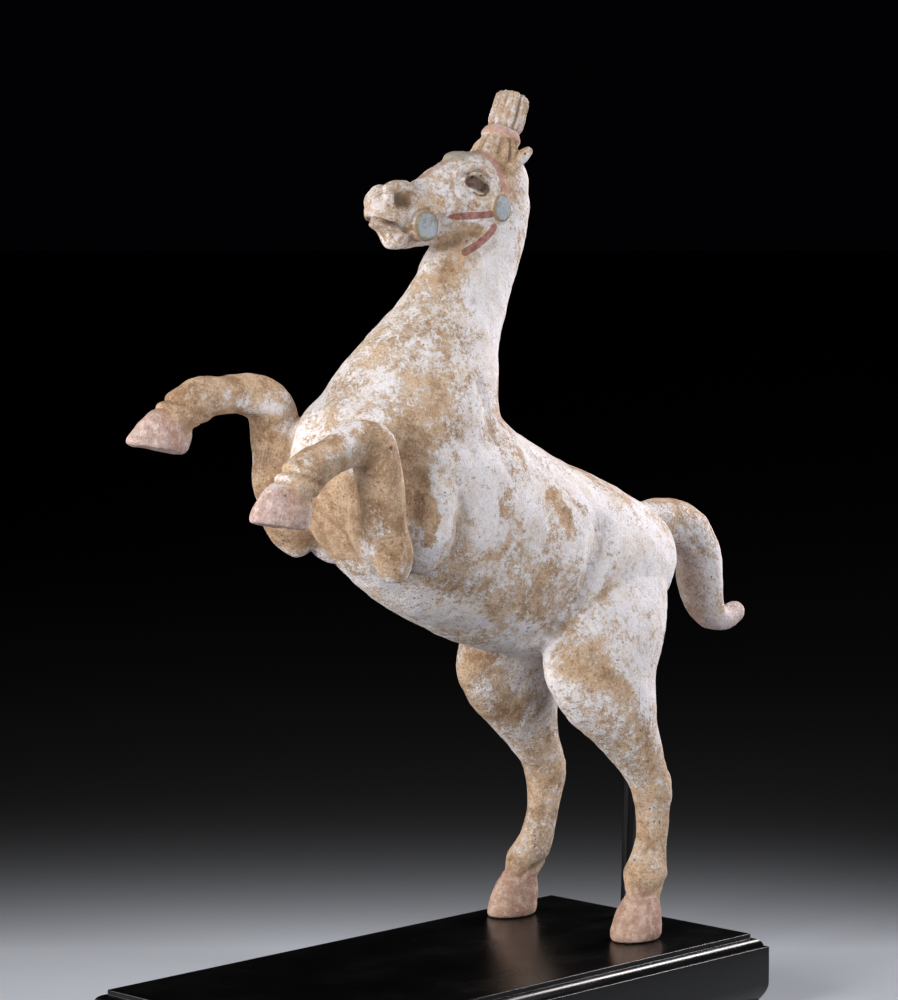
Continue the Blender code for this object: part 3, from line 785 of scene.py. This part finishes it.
for name, paths, half_width in (
    ("strap", STRAPS, 2.6), ("brow_band", [BROW_BAND], 3.2), ("eye", [EYE], 4.4),
    # The nostril and mouth numbers lay painted shade inside those openings.
    ("lid_line", [LID_LINE], 0.8), ("nostril", [NOSTRIL], 5.2), ("mouth", [MOUTH], 2.2),
):
    keep_number(name, closeness(paths, half_width))
boss_face = np.zeros(len(places))
for centre, radius, proud, yaw in BOSSES:
    for flip in (1, -1):
        out = np.array(facing(yaw, flip))
        offset = places - np.array([centre[0], flip * centre[1], centre[2]])
        rise = offset @ out
        aside = np.linalg.norm(offset - rise[:, None] * out, axis=1)
        inside = np.clip((radius + 1.5 - aside) / 5, 0, 1) * np.clip((rise - proud * 0.35) / 2.5, 0, 1)
        boss_face = np.maximum(boss_face, inside)
keep_number("boss", boss_face)
plume_line = PLUME_HIGH - PLUME_LOW
rise = (places - np.array(PLUME_LOW)) @ np.array(plume_line.normalized()) / plume_line.length
keep_number("cord", np.clip(1 - np.abs(rise - 0.41) / 0.08, 0, 1) * (places[:, 2] > 560))

# %% [markdown]
# ## On to the plinth
# So far the horse is in millimetres in its own frame. Its mesh is now scaled to metres and moved. It then
# rides on the frame's one body and takes the place of the plain horse.

# %% Put the horse in its place
horse.data.transform(Matrix.Translation(HORSE_PLACE) @ Matrix.Scale(MM, 4))
horse.data.shade_smooth()
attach(horse, "root")
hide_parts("horse")


# %% [markdown]
# ## Writing a finish as sums
# A material is a graph of small steps. Written as plain arithmetic it stays readable: a class wraps each
# socket, and its plus, minus, times and so on add the Math nodes. One more method adds any other node.

# %% Sockets that can be added and multiplied
class Amount:
    """A number that varies over the surface."""

    def __init__(self, finish, socket):
        self.finish, self.socket = finish, socket

    def _math(self, operation, first, second):
        return self.finish.node("ShaderNodeMath", {"operation": operation}, {0: first, 1: second})

    def __add__(self, other):
        return self._math("ADD", self, other)

    __radd__ = __add__

    def __sub__(self, other):
        return self._math("SUBTRACT", self, other)

    def __rsub__(self, other):
        return self._math("SUBTRACT", other, self)

    def __mul__(self, other):
        return self._math("MULTIPLY", self, other)

    __rmul__ = __mul__

    def __pow__(self, other):
        return self._math("POWER", self, other)

    def held(self):
        """The amount held between 0 and 1."""
        return self.finish.node("ShaderNodeClamp", {}, {"Value": self})

    def step(self, low, high):
        """0 below low, 1 above high and a smooth rise between."""
        inputs = {"Value": self, "From Min": low, "From Max": high}
        return self.finish.node("ShaderNodeMapRange", {"interpolation_type": "SMOOTHSTEP"}, inputs)


class Finish:
    """One material, and the one way to add any node to it."""

    def __init__(self, name):
        self.material = bpy.data.materials.new(name)
        self.material.use_nodes = True
        self.tree = self.material.node_tree
        self.surface = self.tree.nodes["Principled BSDF"]
        self.place = self.node("ShaderNodeTexCoord", {}, {}, "Object")

    def node(self, kind, settings, inputs, output=0):
        made = self.tree.nodes.new(kind)
        for key, value in settings.items():
            setattr(made, key, value)
        for key, value in inputs.items():
            self.feed(made.inputs[key], value)
        return Amount(self, made.outputs[output])

    def feed(self, socket, value):
        if isinstance(value, Amount):
            self.tree.links.new(value.socket, socket)
        else:
            socket.default_value = value

    def noise(self, size, detail=4, rough=0.55, seed=0, bend=0, place=None):
        """Cloudy noise with features of about the given size in metres, around 0.5."""
        inputs = {
            "Vector": place or self.place, "W": seed, "Scale": 1 / size, "Detail": detail,
            "Roughness": rough, "Distortion": bend,
        }
        return self.node("ShaderNodeTexNoise", {"noise_dimensions": "4D"}, inputs)

    def dots(self, scale, seed):
        """Distance to the nearest of points scattered at random, about scale of them to a metre."""
        inputs = {"Vector": self.place, "W": seed, "Scale": scale}
        return self.node("ShaderNodeTexVoronoi", {"voronoi_dimensions": "4D"}, inputs, "Distance")

    def kept(self, name):
        """A number kept on the points of the mesh."""
        return self.node("ShaderNodeAttribute", {"attribute_name": name}, {}, "Fac")

    def mix(self, under, over, share):
        """One colour over another."""
        return self.node("ShaderNodeMix", {"data_type": "RGBA"}, {0: share, 6: under, 7: over}, 2)

    def bump(self, height, depth, strength):
        """The normal bent by a height, where 1 stands for depth in metres."""
        return self.node("ShaderNodeBump", {}, {"Height": height, "Distance": depth, "Strength": strength})

    def put_on(self, obj, inputs):
        """Sets the surface's sockets and gives the material to the object."""
        for key, value in inputs.items():
            self.feed(self.surface.inputs[key], value)
        obj.data.materials.clear()
        obj.data.materials.append(self.material)
        print(self.material.name, "has", len(self.tree.nodes), "nodes")


def paint(red, green, blue):
    """A colour as a screen shows it, 0 to 255, made linear."""
    def linear(v):
        v /= 255
        return v / 12.92 if v <= 0.04045 else ((v + 0.055) / 1.055) ** 2.4

    return (linear(red), linear(green), linear(blue), 1)


# %% [markdown]
# ## Slip over clay
# The finish is built in the order in which the real surface was: fired clay, then slip with flaked
# edges, then paint, then soil in the hollows, with shade painted there too, and black specks on top.
# Noise of four sizes breaks the map's soft edges into flakes, so one threshold gives large patches with
# ragged rims and small crumbs.

# %% Clay, slip and their ragged edge
clay = Finish("slipped_terracotta")
large = clay.noise(0.042, 4, 0.6, 1, 0.3)
middle = clay.noise(0.012, 6, 0.7, 2, 0.5)
small = clay.noise(0.0034, 5, 0.66, 3)
grain = clay.noise(0.0012, 3, 0.6, 4)
edge_breaker = (large - 0.5) * 1.3 + (middle - 0.5) * 2.0 + (small - 0.5) * 2.2 + (grain - 0.5) * 1.6
cover = clay.kept("slip") + edge_breaker - clay.kept("hollow").held() * 0.12
thick = cover.step(0.28, 0.72)
thin_slip = cover.step(-0.15, 0.62)
crumbs = clay.noise(0.0016, 4, 0.66, 6)
pale_clay = clay.noise(0.016, 6, 0.68, 5).step(0.38, 0.62)
pale_grit = clay.noise(0.0019, 4, 0.66, 7).step(0.53, 0.7)
bare_clay = clay.mix(paint(156, 123, 94), paint(208, 177, 147), pale_clay)
bare_clay = clay.mix(bare_clay, paint(104, 76, 54), crumbs.step(0.49, 0.66) * 0.66)
bare_clay = clay.mix(bare_clay, paint(228, 203, 172), pale_grit * 0.62)
cream = clay.noise(0.018, 5, 0.66, 8).step(0.44, 0.66)
greyed = clay.noise(0.0028, 5, 0.7, 9).step(0.5, 0.72)
white_slip = clay.mix(paint(232, 227, 230), paint(220, 205, 192), cream * 0.75)
white_slip = clay.mix(white_slip, paint(184, 174, 168), greyed * 0.6)
white_slip = clay.mix(white_slip, paint(162, 144, 128), crumbs.step(0.52, 0.68) * 0.55)
washed = clay.mix(bare_clay, paint(214, 194, 174), thin_slip * 0.66)
ground = clay.mix(washed, white_slip, thick)

# %% [markdown]
# ## The painted colours
# Over the slip the horse was painted: pink on the hooves, the tail and the mane's edge, a red bridle with
# pale blue bosses, and green that has faded to a stain. The dark in the nostrils and the mouth is painted
# shade. Each colour is laid over the last where its number on the mesh is high, and one kind of wear
# frays all their edges.

# %% Pink, green, the painted harness, eyes, and painted shade in the nostrils and mouth
worn = (small - 0.5) * 0.9 + (middle - 0.5) * 0.7


def where(name, fray, low, high):
    """Where a number kept on the mesh is high enough, with an edge frayed by wear."""
    return (clay.kept(name) + worn * fray).step(low, high)


pink_paint = clay.noise(0.005, 5, 0.66, 10).step(0.42, 0.64)
pink_paint = clay.mix(paint(176, 134, 120), paint(218, 190, 179), pink_paint)
strap_paint = clay.mix(paint(134, 66, 56), paint(168, 104, 92), small.step(0.42, 0.6))
chipped = clay.noise(0.006, 5, 0.66, 11).step(0.47, 0.62)
boss_paint = clay.mix(paint(172, 181, 191), paint(138, 134, 104), chipped * 0.85)
boss_paint = clay.mix(paint(140, 122, 94), boss_paint, where("boss", 0.7, 0.45, 0.85))
eyeball = clay.mix(paint(66, 46, 38), paint(98, 72, 60), small.step(0.4, 0.6))
colour = ground
for name, shade, fray, low, high, strength in (
    ("pink", pink_paint, 0.8, 0.25, 0.75, 0.74), ("green", paint(150, 143, 122), 0.7, 0.3, 0.8, 0.72),
    ("cord", paint(198, 150, 140), 0.4, 0.25, 0.6, 0.7),
    ("brow_band", paint(196, 140, 126), 0.16, 0.44, 0.56, 0.72),
    ("strap", strap_paint, 0.16, 0.46, 0.54, 0.86), ("boss", boss_paint, 0.35, 0.22, 0.36, 0.92),
    ("eye", eyeball, 0.16, 0.4, 0.6, 0.92), ("lid_line", paint(66, 38, 34), 0.12, 0.42, 0.6, 0.85),
    # Painted shade: the dark of the nostrils and the mouth.
    ("nostril", paint(92, 72, 54), 0.4, 0.15, 0.95, 0.85),
    ("mouth", paint(66, 44, 30), 0.12, 0.36, 0.75, 0.85),
):
    colour = clay.mix(colour, shade, where(name, fray, low, high) * strength)

# %% [markdown]
# ## Marks of the ground, and painted shade
# Soil clings where it is not rinsed off, so it follows the strokes of the map, some of which paint shade
# instead, and the hollows are darkened as painted shade. The black specks come from points scattered at
# random, and noise clears them from most of the surface.

# %% Soil and painted shade in the hollows, black specks and blue-grey bruises
# Painted shade: the hollow number darkens creases and recesses, along with the soil strokes and wear.
soil_and_shade = clay.kept("soil_and_shade") * 0.5 + clay.kept("hollow").held() * 0.42 + worn * 0.6
colour = clay.mix(colour, paint(120, 92, 64), soil_and_shade.step(0.12, 1) * 0.8)
bruise = clay.noise(0.02, 6, 0.72, 12, 0.4).step(0.54, 0.76) * thick
colour = clay.mix(colour, paint(164, 162, 166), bruise * 0.36)
speck_where = clay.noise(0.022, 3, 0.6, 13).step(0.42, 0.62)
specks = (0.23 - clay.dots(230, 3)).step(0, 0.06) * speck_where * middle.step(0.4, 0.56)
colour = clay.mix(colour, paint(72, 60, 54), specks * 0.8)

# %% [markdown]
# ## The touch of the surface
# Low-fired clay is dull, and the slip on it a little less so. Relief finer than the mesh comes from one
# bump. Its height adds up slip, grain, pits and specks, so that relief and colour agree.

# %% Touch of the surface
pits = clay.noise(0.0016, 3, 0.6, 14).step(0.6, 0.78) * (1 - thick)
height = thick * 0.5 + small * 0.7 + grain * 0.8 - pits * 0.8 - specks * 0.7 + middle * 0.6
height += crumbs * (1 - thick) * 0.6
clay.put_on(horse, {
    "Base Color": colour, "Roughness": 0.92 - thick * 0.1, "Specular IOR Level": 0.35,
    "Normal": clay.bump(height, 0.001, 0.9),
})


# %% [markdown]
# ## The black plinth
# The plinth is wood, moulded round its top and lacquered black. Lacquer never ends in a knife edge, so
# each corner of the profile is eased, and the eased corners catch the thin lines of light that a real
# moulding shows.

# %% Profile of the moulding
TOP_LENGTH, TOP_WIDTH = 0.4365, 0.1935
LEDGE, LEDGE_HEIGHT = 0.001, 0.0036  # the top board's edge
QUARTER_AT, QUARTER = 0.002, 0.0058  # a quarter round under it
SIDE_STEP, SIDE_HEIGHT = 0.0028, 0.026  # the plain side
TUCK, FOOT_HEIGHT = 0.005, 0.01  # the foot, drawn in towards the ground
EASED = 0.0007  # how far a corner is rounded


def rounded(rows, ease, steps=4):
    """The profile with each inner corner eased by a short curve."""
    out = [Vector(rows[0])]
    for before, corner, after in zip(rows, rows[1:], rows[2:]):
        before, corner, after = Vector(before), Vector(corner), Vector(after)
        back, on = before - corner, after - corner
        cut = min(ease, back.length * 0.45, on.length * 0.45)
        start, end = corner + back.normalized() * cut, corner + on.normalized() * cut
        for k in range(steps + 1):
            t = k / steps
            out.append(start * (1 - t) ** 2 + corner * 2 * t * (1 - t) + end * t**2)
    out.append(Vector(rows[-1]))
    return out


def moulding():
    """(how far out from the top's edge, height), from the top down to the underside."""
    low = PLINTH_HEIGHT - LEDGE_HEIGHT - QUARTER
    side = QUARTER_AT + QUARTER + SIDE_STEP
    bend = low - SIDE_HEIGHT
    top = [(-0.004, PLINTH_HEIGHT), (LEDGE, PLINTH_HEIGHT), (LEDGE, PLINTH_HEIGHT - LEDGE_HEIGHT)]
    falling = [pi / 2 * (1 - k / 14) for k in range(15)]
    quarter = [(QUARTER_AT + QUARTER * cos(a), low + QUARTER * sin(a)) for a in falling]
    foot = [(side - TUCK * (k / 12) ** 2, bend + (FOOT_HEIGHT - bend) * k / 12) for k in range(13)]
    shelf = rounded([quarter[-1], (side, low), foot[0]], EASED)[1:-1]
    rows = rounded(top + [quarter[0]], EASED)[:-1] + quarter + shelf + foot + [(side - TUCK, 0)]
    return [Vector(row) for row in rows]


# %% Build the plinth with its mitred corners eased
bm = bmesh.new()
rings = []
for out, height_at in moulding():
    x, y = TOP_LENGTH / 2 + out, TOP_WIDTH / 2 + out
    ease = 0.0006 if out > 0 else 0.0
    ring = []
    for sx, sy in ((1, 1), (-1, 1), (-1, -1), (1, -1)):
        for k in range(5):
            turn = pi / 8 * k
            first, second = cos(turn), sin(turn)
            if sx * sy < 0:
                first, second = second, first
            ring.append(Vector((sx * (x - ease + ease * first), sy * (y - ease + ease * second), height_at)))
    rings.append(ring)
skin(bm, rings)
plinth = as_object(bm, "lacquered_plinth")
plinth.data.shade_smooth()
plinth.data.set_sharp_from_angle(angle=radians(28))
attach(plinth, "root")
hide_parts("plinth")
print("the plinth is", [round(v * 1000, 1) for v in plinth.dimensions], "mm")

# %% [markdown]
# ## The lacquer
# Polished black shows little but what it reflects. It looks real through what disturbs it: rubbed clouds,
# fine streaks along the length and specks of dust, mostly in the roughness and the bump.

# %% Black lacquer
lacquer = Finish("black_lacquer_polished")
dust = (0.07 - lacquer.dots(120, 1)).step(0, 0.03) * lacquer.noise(0.03, 3, 0.6, 1).step(0.5, 0.62)
rubbed = lacquer.noise(0.05, 4, 0.6, 2).step(0.35, 0.75)
lengthwise = lacquer.node("ShaderNodeMapping", {}, {"Vector": lacquer.place, "Scale": (1, 14, 14)})
streaks = lacquer.noise(0.02, 4, 0.6, 3, place=lengthwise)
black = lacquer.mix(paint(8, 8, 8), paint(18, 17, 16), rubbed * 0.5)
ripple = streaks * 0.4 + lacquer.noise(0.004, 3, 0.5, 4) * 0.3
lacquer.put_on(plinth, {
    "Base Color": lacquer.mix(black, paint(120, 116, 110), dust * 0.5),
    "Roughness": 0.2 + rubbed * 0.08 + streaks * 0.06 + dust * 0.4, "Specular IOR Level": 0.34,
    "Normal": lacquer.bump(ripple, 0.00006, 0.5),
})


# %% [markdown]
# ## The rod
# A blackened steel rod stands in the plinth and reaches up into the rump, both ends out of sight. It is
# turned bar, so it only needs enough sides to look round, and a finish a little duller than the lacquer.

# %% Turn the rod
ROD_FOOT, ROD_LEAN = Vector((0.2052, 0.01, PLINTH_HEIGHT)), radians(1.6)
ROD_LOW, ROD_HIGH, ROD_RADIUS, ROD_EASED = -0.0197, 0.247, 0.004, 0.0005
bm = bmesh.new()
rows = [
    (ROD_LOW, ROD_RADIUS - ROD_EASED), (ROD_LOW + ROD_EASED, ROD_RADIUS),
    (ROD_HIGH - ROD_EASED, ROD_RADIUS), (ROD_HIGH, ROD_RADIUS - ROD_EASED),
]
skin(bm, [[Vector((r * cos(a), r * sin(a), z)) for a in turns(64)] for z, r in rows])
rod = as_object(bm, "steel_rod")
rod.data.transform(Matrix.Translation(ROD_FOOT) @ Matrix.Rotation(ROD_LEAN, 4, "Y"))
rod.data.shade_smooth()
rod.data.set_sharp_from_angle(angle=radians(40))
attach(rod, "root")
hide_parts("support_rod")

# %% Blackened steel
steel = Finish("blackened_steel")
scuffs = steel.noise(0.006, 5, 0.6, 1)
steel.put_on(rod, {
    "Base Color": steel.mix(paint(16, 16, 17), paint(40, 39, 38), scuffs.step(0.55, 0.8) * 0.6),
    "Roughness": 0.24 + scuffs * 0.14, "Metallic": 0.5, "Normal": steel.bump(scuffs, 0.00004, 0.4),
})


# %% [markdown]
# ## Floor and backdrop
# A wide pale floor, and behind the horse a paper backdrop that lies flat and runs from the same pale grey
# to black: painted shade, standing in for the light falling off behind the horse. A standing backdrop
# would catch the lights, while a flat one only needs its colour to fade.

# %% Floor
AZIMUTH, ELEVATION = radians(-45.586), radians(5.459)
back = Vector((sin(AZIMUTH) * cos(ELEVATION), -cos(AZIMUTH) * cos(ELEVATION), sin(ELEVATION)))
flat_back = Vector((back.x, back.y, 0)).normalized()
right = Vector((cos(AZIMUTH), sin(AZIMUTH), 0))
SHEET = 20  # how deep a sheet is, and half its width
MEETING = Vector((0, 0, -0.0002)) - flat_back * 0.3  # where floor and paper meet


def sheet(name, near, far):
    """A flat sheet square to the camera, from near to far behind the line where floor and paper meet."""
    bm = bmesh.new()
    for across, deep in ((-SHEET, near), (SHEET, near), (SHEET, far), (-SHEET, far)):
        bm.verts.new((across, deep, 0))
    bm.faces.new(bm.verts)
    obj = as_object(bm, name)
    obj.location = MEETING
    obj.rotation_euler = (0, 0, AZIMUTH)
    return obj


floor = sheet("studio_floor", -SHEET, 0)
stone = Finish("pale_floor")
pale = stone.mix(paint(176, 181, 190), paint(180, 185, 194), stone.noise(0.4, 3, 0.5))
stone.put_on(floor, {"Base Color": pale, "Roughness": 0.9})

# %% Backdrop with painted shade, darkening to black
backdrop = sheet("backdrop_with_painted_falloff", 0, SHEET)
paper = Finish("paper_with_painted_falloff")
behind = paper.node("ShaderNodeSeparateXYZ", {}, {"Vector": paper.place}, "Y")
# Painted shade: the paper darkens to black further behind the horse, as the light falls off.
painted_falloff = (1 - behind * 0.85).held() ** 6 * 0.985 + 0.015
painted_falloff_colour = paper.mix(paint(2, 2, 3), paint(178, 183, 192), painted_falloff)
paper.put_on(backdrop, {"Base Color": painted_falloff_colour, "Roughness": 0.9})

# %% [markdown]
# ## The camera
# The angle and the lens come from the plinth. The way its long and short edges run together in the
# photograph tells how far round, how high and how far off the camera stood.

# %% Camera at the photograph's angle
camera = put_in_scene("camera", bpy.data.cameras.new("camera"))
camera.location = (-1.779, -1.7516, 0.5603 + PLINTH_HEIGHT)
camera.rotation_euler = back.to_track_quat("Z", "Y").to_euler()
camera.data.lens, camera.data.sensor_width = 131.42, 36
camera.data.clip_end = 50
bpy.context.scene.camera = camera
print("the camera stands", round((camera.location - HORSE_PLACE).length, 2), "m from the hind hooves")

# %% [markdown]
# ## The lights
# Low soft boxes stand to the left and right, one behind draws the bright edge along the neck and back,
# a weak one hangs above, and a small pool of light falls on the floor in front. Each is set by its
# direction from what it is aimed at, so it can be walked round the figure by changing one line.

# %% Lights
AIM = Vector((0.02, 0, 0.38))


def softbox(name, toward, distance, size, watts, colour=(1, 1, 1), spread=75, aim=AIM):
    """A square light at a distance from its aim, in the direction toward, facing back at it."""
    toward = toward.normalized()
    light = bpy.data.lights.new(name, "AREA")
    light.shape, light.size, light.energy, light.color = "SQUARE", size, watts, colour
    light.spread = radians(spread)
    obj = put_in_scene(name, light)
    obj.location = aim + toward * distance
    obj.rotation_euler = toward.to_track_quat("Z", "Y").to_euler()
    print(name, "gives", watts, "watts from", [round(v, 2) for v in obj.location])


UP = Vector((0, 0, 1))
softbox("key", flat_back * 0.92 - right * 0.74 + UP * 0.3, 1.75, 0.6, 5.8, (1, 0.985, 0.965))
softbox("side", flat_back * 0.4 + right + UP * 0.28, 1.75, 0.6, 3.4, (0.96, 0.97, 1))
softbox("left", -right + UP * 0.06, 1.6, 0.5, 2, (1, 0.97, 0.94))
softbox("rim", -flat_back * 0.7 + right * 0.75 + UP * 0.55, 1.4, 0.4, 3.4, (1, 0.95, 0.95))
softbox("top", UP - right * 0.25 + flat_back * 0.1, 1.3, 0.7, 0.6)
softbox("pool", UP, 0.9, 0.8, 0.5, (0.95, 0.97, 1), 60, flat_back * 1.15 - right * 0.25)
world = bpy.data.worlds.new("studio")
world.use_nodes = True
world.node_tree.nodes["Background"].inputs["Color"].default_value = (0.0006, 0.0006, 0.0011, 1)
bpy.context.scene.world = world
bpy.context.scene.view_settings.view_transform = "Standard"
